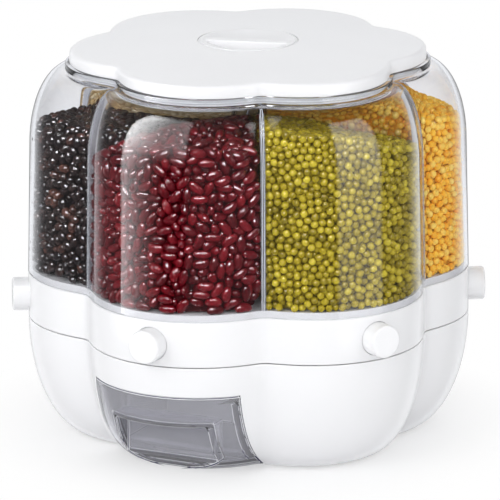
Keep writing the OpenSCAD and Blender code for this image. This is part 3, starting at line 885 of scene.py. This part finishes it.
def pack_grain(room, radius, links, fill, layers, rounds):
    """Fills the layers under the seen faces with grain made of balls at `links` along an axis, and settles it."""
    size = 2 * radius
    rng = room.rng
    offsets = np.array(links, float)
    depth = layers * size
    tries = 60000
    low, high = np.array([0.0, -75.0, FLOOR_TOP_Z]), np.array([148.0, 75.0, 254.0])  # a box round the sector
    p = rng.uniform(low, high, (tries, 3))
    keep = np.ones(tries, bool)
    for dist, _ in room.limits(p):
        keep &= dist > 0.6 * radius
    keep &= room.depth(p, size)[0] < depth
    volume = keep.sum() / tries * np.prod(high - low)
    one = 4 / 3 * math.pi * radius ** 3 + math.pi * radius ** 2 * (offsets.max() - offsets.min()) * 0.92
    count = int(volume * fill / one)
    p = p[keep][:count]
    axis = rng.normal(size=(len(p), 3))
    axis /= np.linalg.norm(axis, axis=1)[:, None]
    n, m = len(p), len(offsets)
    for step in range(rounds):
        balls = (p[:, None] + axis[:, None] * offsets[None, :, None]).reshape(-1, 3)
        if step % NEW_PAIRS_EVERY == 0:
            first, second = close_pairs(balls, size * LOOK_AROUND)
            other = first // m != second // m
            first, second = first[other], second[other]
        gap = balls[second] - balls[first]
        dist = np.maximum(np.linalg.norm(gap, axis=1), 1e-6)
        push = np.where(dist < size, (size - dist) * 0.5, 0.0)[:, None] * gap / dist[:, None]
        move = np.zeros_like(balls)
        for c in range(3):
            move[:, c] += np.bincount(second, push[:, c], len(balls)) - np.bincount(first, push[:, c], len(balls))
        move *= RELAX
        trial = balls + move
        for dist, grad in room.limits(trial):
            move += np.where(dist < radius, radius - dist, 0.0)[:, None] * grad
        trial = balls + move
        deep, grad = room.depth(trial, size)
        move -= np.where(deep > depth, np.minimum(deep - depth, size * 0.3), 0.0)[:, None] * grad
        move = move.reshape(n, m, 3)
        p = p + move.mean(axis=1)
        if m > 1:
            axis = axis + (move * offsets[None, :, None]).sum(axis=1) / (offsets ** 2).sum() * 0.9
            axis /= np.linalg.norm(axis, axis=1)[:, None]
    return p, axis


def seed_shape(long, wide, thick, rings, sides, bend, notch):
    """Points and faces of one seed, with X as its long axis and ends that are blunter than an ellipse's."""
    points = [(-long / 2, 0, 0)]
    for j in range(1, rings):
        t = math.pi * j / rings
        for i in range(sides):
            a = 2 * math.pi * i / sides
            swell = 1 - notch * math.exp(-((math.cos(t) / NOTCH_W) ** 2)) * max(-math.sin(a), 0)
            x = -math.cos(t) * long / 2
            r = math.sin(t) ** BLUNT_ENDS
            y = wide / 2 * r * math.sin(a) * swell - bend * ((2 * x / long) ** 2 - 0.33)
            points.append((x, y, thick / 2 * r * math.cos(a)))
    points.append((long / 2, 0, 0))
    faces = []
    last = 1 + (rings - 2) * sides
    for i in range(sides):
        n = (i + 1) % sides
        faces.append((0, 1 + n, 1 + i))
        for j in range(rings - 2):
            near, far = 1 + j * sides, 1 + (j + 1) * sides
            faces.append((near + i, near + n, far + n, far + i))
        faces.append((last + i, last + n, len(points) - 1))
    return np.array(points), faces


def grain_mesh(name, centres, axes, shape, rng, matrix, vary):
    """All grains of a compartment in one mesh, each with its own turn, size and tone."""
    base, faces = shape
    n, m = len(centres), len(base)
    helper = rng.normal(size=(n, 3))
    side = np.cross(axes, helper)
    side /= np.linalg.norm(side, axis=1)[:, None]
    third = np.cross(axes, side)
    grow = 1 + vary * rng.uniform(-1, 1, (n, 3))
    local = base[None] * grow[:, None]
    points = (
        centres[:, None]
        + local[..., 0:1] * axes[:, None]
        + local[..., 1:2] * side[:, None]
        + local[..., 2:3] * third[:, None]
    ).reshape(-1, 3)
    turn = np.array(matrix.to_3x3())
    points = points @ turn.T * MM
    corners = np.concatenate([np.array(f) for f in faces])
    sizes = np.array([len(f) for f in faces])
    all_corners = (corners[None] + (np.arange(n) * m)[:, None]).ravel()
    all_sizes = np.tile(sizes, n)
    starts = np.concatenate([[0], np.cumsum(all_sizes)[:-1]])
    mesh = bpy.data.meshes.new(name)
    mesh.vertices.add(n * m)
    mesh.vertices.foreach_set("co", points.ravel())
    mesh.loops.add(len(all_corners))
    mesh.loops.foreach_set("vertex_index", all_corners.astype(np.int32))
    mesh.polygons.add(len(all_sizes))
    mesh.polygons.foreach_set("loop_start", starts.astype(np.int32))
    mesh.update(calc_edges=True)
    tone = mesh.attributes.new("tone", "FLOAT", "POINT")
    tone.data.foreach_set("value", np.repeat(rng.beta(2.2, 2.2, n), m).astype(np.float32))
    spot = mesh.attributes.new("spot", "FLOAT_VECTOR", "POINT")
    drift = rng.uniform(-40, 40, (n, 3))
    places = np.tile(base, (n, 1)) + np.repeat(drift, m, axis=0)
    spot.data.foreach_set("vector", places.ravel().astype(np.float32))
    mesh.shade_smooth()
    return in_scene(name, mesh)


def core_mesh(name, room, depth, matrix):
    """A dark body under the layers of grain, so that no light shows through the gaps between them."""
    steps_z, steps_a, halvings = 26, 30, 18
    inner = 14.0
    points, faces = [], []
    zs = np.linspace(FLOOR_TOP_Z + 1, NECK_TOP_Z - 5.5, steps_z)
    angles = np.linspace(-27, 27, steps_a)
    for z in zs:
        for a in angles:
            ray = np.array([math.cos(math.radians(a)), math.sin(math.radians(a))])
            low, high = inner, TIP_R
            for _ in range(halvings):
                mid = (low + high) / 2
                p = np.array([[ray[0] * mid, ray[1] * mid, z]])
                if room.wall(p)[0][0] > depth and room.blade(p)[0][0] > depth * 0.4 or mid < 25:
                    low = mid
                else:
                    high = mid
            x, y = ray * low
            top = float(room.heap(np.array([x]), np.array([y]))[0]) - depth
            points.append((x, y, min(z, top)))
    base = len(points)
    inner_top = float(room.heap(np.array([inner]), np.array([0.0]))[0]) - depth
    points += [(inner, 0.0, min(z, inner_top)) for z in zs]
    for j in range(steps_z - 1):
        for i in range(steps_a - 1):
            a = j * steps_a + i
            faces.append((a, a + 1, a + 1 + steps_a, a + steps_a))
        faces.append((base + j, j * steps_a, (j + 1) * steps_a, base + j + 1))
        faces.append((base + j + 1, (j + 2) * steps_a - 1, (j + 1) * steps_a - 1, base + j))
    top_row = (steps_z - 1) * steps_a
    for i in range(steps_a - 1):
        faces.append((base + steps_z - 1, top_row + i, top_row + i + 1))
        faces.append((base, i + 1, i))
    piece = make_piece(name, points, faces)
    return place(piece, matrix)


HEAP_FLAT_R, HEAP_SLOPE_R = 70, 75
HEAP_LIMIT_Z = NECK_TOP_Z - 6
RIPPLE = 0.9


def heap_shape(middle, rim, lean, crest, seed):
    """Height of a poured heap, from `middle` to `rim` at the outer wall, along which it leans and drops."""
    rng = np.random.default_rng(seed)
    ranges = ((0.03, 0.09), (0.03, 0.09), (0, 6), (0.4, 1))
    waves = [[rng.uniform(*limits) for limits in ranges] for _ in range(5)]

    def heap(x, y):
        slope = np.clip((np.hypot(x, y) - HEAP_FLAT_R) / HEAP_SLOPE_R, 0, 1)
        z = middle + (rim - middle) * slope ** 1.3 + lean * y - crest * y ** 2
        for a, b, c, size in waves:
            z = z + RIPPLE * size * np.sin(a * x + b * y + c)
        return np.minimum(z, HEAP_LIMIT_Z)

    return heap


# lobe, name, ball radius, places of a seed's balls on its axis,
# seed (length, width, thickness, rings, sides, bend, notch), heap (middle, rim, lean, crest)
GRAINS = [
    (1, "kidney", 2.95, (-2.7, 0, 2.7), (11.6, 7.0, 6.1, 9, 12, 0.7, 0.14), (228.0, 226.0, 0.10, 0.0035)),
    (2, "mung", 2.6, (0.0,), (5.5, 5.2, 5.1, 6, 10, 0.0, 0.0), (226.0, 226.0, -0.25, 0.0)),
    (3, "pea", 2.55, (0.0,), (5.3, 5.1, 5.0, 6, 10, 0.0, 0.0), (237.0, 216.0, -0.06, 0.0)),
    (4, "lentil", 2.7, (0.0,), (5.7, 5.4, 5.1, 6, 9, 0.0, 0.0), (240.0, 232.0, 0.0, 0.0)),
    (5, "wheat", 2.2, (-1.5, 0, 1.5), (7.2, 4.6, 4.4, 6, 8, 0.0, 0.1), (239.0, 227.0, 0.0, 0.0)),
    (6, "black_bean", 2.95, (-0.8, 0.8), (7.9, 6.2, 5.8, 8, 12, 0.2, 0.05), (217.0, 214.0, 0.03, 0.0)),
]
GRAIN_LOOKS = {
    "kidney": grain_material(
        "kidney_bean", (0.060, 0.001, 0.003), (0.115, 0.001, 0.005), (0.22, 0.005, 0.011), 0.34, 0.5, 0.8, 0.35
    ),
    "mung": grain_material(
        "mung_bean", (0.19, 0.142, 0.004), (0.42, 0.32, 0.009), (0.68, 0.55, 0.04), 0.36, 0.7, 0.5, 0.6
    ),
    "pea": grain_material(
        "yellow_pea", (0.98, 0.42, 0.02), (1.0, 0.57, 0.05), (1.0, 0.74, 0.18), 0.42, 0.5, 0.3, 0.4
    ),
    "lentil": grain_material(
        "brown_lentil", (0.36, 0.10, 0.014), (0.58, 0.19, 0.025), (0.74, 0.33, 0.06), 0.42, 0.6
    ),
    "wheat": grain_material("wheat", (0.66, 0.44, 0.20), (0.87, 0.66, 0.36), (0.95, 0.82, 0.56), 0.5, 0.5),
    "black_bean": grain_material(
        "black_bean", (0.009, 0.006, 0.007), (0.024, 0.014, 0.013), (0.13, 0.05, 0.035), 0.30, 0.5, 1.0,
        coat_ior=1.8, middle_at=0.66,
    ),
}

ROUNDS = 110
FILL = 0.84
LAYERS = 2.0
CORE_DEPTH = 1.35
for lobe, kind, radius, links, seed, heap in GRAINS:
    room = Compartment(heap_shape(*heap, 40 + lobe), 100 + lobe)
    centres, axes = pack_grain(room, radius, links, FILL, LAYERS, ROUNDS)
    piece = grain_mesh(f"{kind}s", centres, axes, seed_shape(*seed), room.rng, lobe_matrix(lobe), 0.05)
    mount(piece, "carousel", GRAIN_LOOKS[kind])
    core = core_mesh(f"{kind}_core", room, 2 * radius * CORE_DEPTH, lobe_matrix(lobe))
    mount(core, "carousel", GRAIN_LOOKS[kind])

# ---- Camera, floor, lights ----

AZIMUTH, ELEVATION, DISTANCE = 25.65, 15.36, 4.0
LENS = 423.3
AIM = Vector((0, 0, RING_TOP_Z * MM))
AIM_RIGHT, AIM_UP = 0.00088, 0.01048
ROLL = 0.2
LIT = Vector((0, 0, 0.14))
DOME_LEVEL, ROOM_LEVEL, GRAIN_ROOM_LEVEL = 0.53, 0.14, 0.05
# how far a reflection looks the camera's way (1 is straight ahead) where the far wall starts and is full,
# and where the dark patch in it starts and is full
FAR_WALL = (0.50, 0.85)
DARK_PATCH = (0.95, 0.985)
DARK_LEVEL = 0.25
FLOOR_FADE = (0.10, 0.21)
FLOOR_NEAR_WHITE = 0.5
# a reflection off the clear shell has come through it at most this many times, one off the grain more often
SHELL_PASSES = 2

az, el = math.radians(AZIMUTH), math.radians(ELEVATION)
back = Vector((math.sin(az) * math.cos(el), -math.cos(az) * math.cos(el), math.sin(el)))
right = Vector((math.cos(az), math.sin(az), 0))
up = back.cross(right)
camera = in_scene("camera", bpy.data.cameras.new("camera"))
camera.data.lens = LENS
camera.data.sensor_width = 36.0
camera.data.clip_end = 50
aimed_at = AIM + right * AIM_RIGHT + up * AIM_UP
turned = Matrix((right, up, back)).transposed().to_4x4() @ Matrix.Rotation(math.radians(-ROLL), 4, "Z")
camera.matrix_world = Matrix.Translation(aimed_at + back * DISTANCE) @ turned
bpy.context.scene.camera = camera


def view_kinds(tree):
    """Whether a path came here without a bounce, except through clear plastic, and whether by reflection."""
    path = add(tree, "LightPath").outputs
    bounces = calculate(tree, "ADD", path["Diffuse Depth"], path["Glossy Depth"])
    direct = calculate(tree, "LESS_THAN", bounces, 0.5)
    undiffused = calculate(tree, "LESS_THAN", path["Diffuse Depth"], 0.5)
    return direct, calculate(tree, "SUBTRACT", undiffused, direct)


def passes_over(tree, operation):
    """Compares how often a path went through clear plastic with the most for a reflection off the shell."""
    return calculate(tree, operation, add(tree, "LightPath").outputs["Transmission Depth"], SHELL_PASSES + 0.5)


def studio_floor():
    """Pale floor: white where it is seen, lit and shadowed near the part, and left out of reflections."""
    material, tree, shader, surface = new_material(
        "studio_floor", Base_Color=(0.90, 0.90, 0.91), Roughness=0.6, Specular_IOR_Level=0.1
    )
    where = add(tree, "TexCoord").outputs["Object"]
    from_part = calculate(tree, "LENGTH", where, kind="VectorMath")
    fade = map_range(
        tree, from_part, interpolation_type="SMOOTHSTEP",
        From_Min=FLOOR_FADE[0], From_Max=FLOOR_FADE[1], To_Min=FLOOR_NEAR_WHITE,
    )
    direct, mirrored = view_kinds(tree)
    white = add(tree, "Emission", Strength=1.0).outputs["Emission"]
    seen = mix_shaders(tree, calculate(tree, "MULTIPLY", fade, direct), shader.outputs["BSDF"], white)
    left_out = add(tree, "BsdfTransparent").outputs["BSDF"]
    feed(tree, surface, mix_shaders(tree, mirrored, seen, left_out))
    mesh = bpy.data.meshes.new("floor")
    size = 12.0
    corners = [(-size, -size, 0), (size, -size, 0), (size, size, 0), (-size, size, 0)]
    mesh.from_pydata(corners, [], [(0, 1, 2, 3)])
    mesh.materials.append(material)
    in_scene("floor", mesh)


def world_light():
    """White behind the part, and a soft grey dome for light.

    Reflections off the shell show a dim room with a bright far wall behind the part, and a dark patch in its
    middle, which draws thin dark outlines. Those off the grain show a dimmer room.
    """
    world = bpy.data.worlds.new("studio")
    bpy.context.scene.world = world
    world.use_nodes = True
    tree = world.node_tree
    direct, mirrored = view_kinds(tree)
    where = add(tree, "TexCoord").outputs["Generated"]
    ahead = calculate(tree, "DOT_PRODUCT", where, -back, kind="VectorMath")
    smooth = {"interpolation_type": "SMOOTHSTEP"}
    far_wall = map_range(tree, ahead, From_Min=FAR_WALL[0], From_Max=FAR_WALL[1], To_Min=ROOM_LEVEL, **smooth)
    patch = map_range(
        tree, ahead, From_Min=DARK_PATCH[0], From_Max=DARK_PATCH[1], To_Min=1.0, To_Max=DARK_LEVEL, **smooth
    )
    room_tone = calculate(tree, "MULTIPLY", far_wall, patch)
    on_grain = passes_over(tree, "GREATER_THAN")
    mirror_tone = map_range(tree, on_grain, To_Min=room_tone, To_Max=GRAIN_ROOM_LEVEL)
    tones = fill_in(
        tree, tree.nodes["Background"], Color=(0.97, 0.98, 1.0),
        Strength=map_range(tree, mirrored, To_Min=DOME_LEVEL, To_Max=mirror_tone),
    )
    white = add(tree, "Background", Strength=1.0, Color=(1, 1, 1)).outputs["Background"]
    seen = mix_shaders(tree, direct, tones.outputs["Background"], white)
    feed(tree, tree.nodes["World Output"].inputs["Surface"], seen)


def towards(azimuth, elevation):
    """Unit vector from the part. Azimuth is measured from the camera's side, to the right."""
    turn = math.radians(FIRST_LOBE + AZIMUTH + azimuth)
    rise = math.radians(elevation)
    return Vector((math.cos(turn) * math.cos(rise), math.sin(turn) * math.cos(rise), math.sin(rise)))


def softbox(name, azimuth, elevation, distance, width, height, power):
    """A soft rectangular lamp that lights the part but isn't seen in it."""
    data = bpy.data.lights.new(name, "AREA")
    data.shape = "RECTANGLE"
    data.size, data.size_y = width, height
    data.energy = power
    lamp = in_scene(name, data)
    lamp.location = LIT + towards(azimuth, elevation) * distance
    lamp.rotation_euler = (LIT - lamp.location).to_track_quat("-Z", "Y").to_euler()
    lamp.visible_camera = lamp.visible_glossy = lamp.visible_transmission = False


def screen(name, start, end, heights, glow, on_grain=False):
    """An upright light screen, seen only in reflections off the clear shell, or off the grain in it.

    Its ends are (to the right, towards the camera) in plan. `glow` gives its brightness at each share of it.
    """
    material, tree, _, surface = new_material(name)
    shade = add(tree, "Attribute", attribute_name="glow").outputs["Fac"]
    light = add(tree, "Emission", Strength=shade).outputs["Emission"]
    passes = passes_over(tree, "GREATER_THAN" if on_grain else "LESS_THAN")
    seen = calculate(tree, "MULTIPLY", passes, view_kinds(tree)[1])
    feed(tree, surface, mix_shaders(tree, seen, add(tree, "BsdfTransparent").outputs["BSDF"], light))
    columns, rows = 40, 30
    near = Vector((back.x, back.y, 0)).normalized()
    points, values, faces = [], [], []
    for j in range(rows):
        for i in range(columns):
            across, upwards = i / (columns - 1), j / (rows - 1)
            plan = Vector(start) * (1 - across) + Vector(end) * across
            height = heights[0] + (heights[1] - heights[0]) * upwards
            points.append((right * plan.x + near * plan.y + Vector((0, 0, height))) * MM)
            values.append(glow(across, upwards))
            if i and j:
                corner = j * columns + i
                faces.append((corner, corner - 1, corner - 1 - columns, corner - columns))
    mesh = bpy.data.meshes.new(name)
    mesh.from_pydata(points, [], faces)
    mesh.attributes.new("glow", "FLOAT", "POINT").data.foreach_set("value", values)
    mesh.materials.append(material)
    in_scene(name, mesh)


def ease(value, start, end):
    s = min(max((value - start) / (end - start), 0), 1)
    return s * s * (3 - 2 * s)


def left_glow(across, upwards):
    """Low down only its far edge glows, higher up all of it."""
    edge = (1 - ease(across, 0.0, 0.75)) ** 1.5
    rest = ease(upwards, 0.36, 0.5) * (1 - ease(across, 0.96, 1.0))
    return (4.4 + 8.0 * ease(upwards, 0.3, 0.55)) * edge + 2.6 * rest


def right_glow(across, upwards):
    sides = ease(across, 0.0, 0.05) * (1 - ease(across, 0.96, 1.0))
    return (1.5 + 1.6 * ease(upwards, 0.35, 0.7)) * sides


def top_glow(across, upwards):
    return 20.0 * math.prod(ease(share, 0, 0.15) for share in (across, 1 - across, upwards, 1 - upwards))


studio_floor()
world_light()
# azimuth, elevation, distance, width, height, power
softbox("key", -52, 30, 1.6, 1.1, 1.1, 10.8)
softbox("fill", 58, 26, 1.8, 1.0, 1.2, 7.8)
softbox("front", -4, 16, 2.0, 0.8, 0.8, 8.8)
softbox("rear", 172, 36, 1.8, 1.0, 1.0, 5.2)
# start, end, heights
screen("left_screen", (-235, 118), (-75, 270), (60, 500), left_glow)
screen("right_screen", (93, 204), (169, 135), (60, 340), right_glow)
screen("top_screen", (-760, 760), (400, 800), (480, 1260), top_glow, on_grain=True)

bpy.context.scene.view_settings.view_transform = "Standard"
